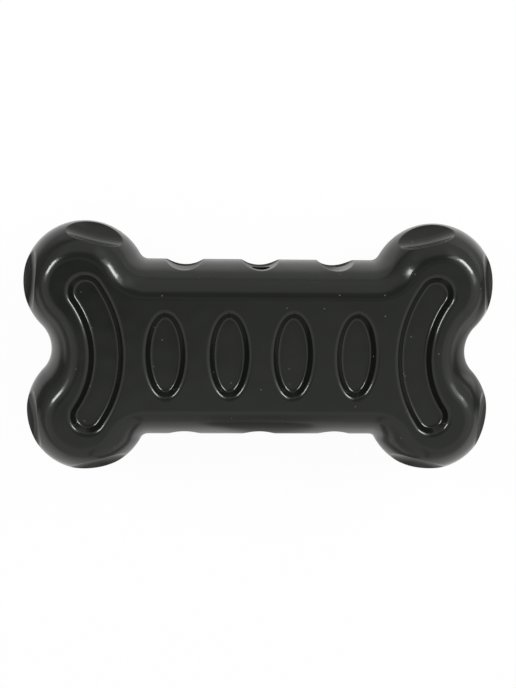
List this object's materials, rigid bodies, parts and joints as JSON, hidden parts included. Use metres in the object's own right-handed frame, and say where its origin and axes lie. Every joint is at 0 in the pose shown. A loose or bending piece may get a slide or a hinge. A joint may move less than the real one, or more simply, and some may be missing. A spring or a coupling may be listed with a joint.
{
  "type": "squeaky dog toy",
  "caption": "Bone-shaped hollow rubber dog toy with round knobs, oval and crescent recesses in its flat faces, scooped edges, and a reed squeaker trapped behind an air hole in one edge.",
  "frame": {"origin": "centre of the toy's box, on the surface that its back face lies on", "axes": "+X along the bone, +Y towards the edge with the air hole, +Z out of the front face"},
  "size_m": [0.15, 0.0804, 0.034],
  "materials": {
    "rubber": "satin moulded black",
    "cement": "matte black, cured",
    "cup_plastic": "moulded black",
    "reed_plastic": "moulded natural white",
    "reed_film": "clear amber film"
  },
  "bodies": {
    "toy": {"front_shell": "rubber", "back_shell": "rubber", "seam_bond": "cement", "squeaker_cup": "cup_plastic", "squeaker_cap": "cup_plastic", "reed_seat": "reed_plastic", "reed_clamp": "reed_plastic"},
    "reed": {"reed": "reed_film"}
  },
  "joints": [
    {"name": "reed_flex", "type": "hinge", "parent": "toy", "child": "reed", "pos_m": [0, 0.0191, 0.017], "axis": [-1, 0, 0], "range_deg": [-1.9, 3.5], "stiffness_Nm_per_rad": 0.0014}
  ]
}
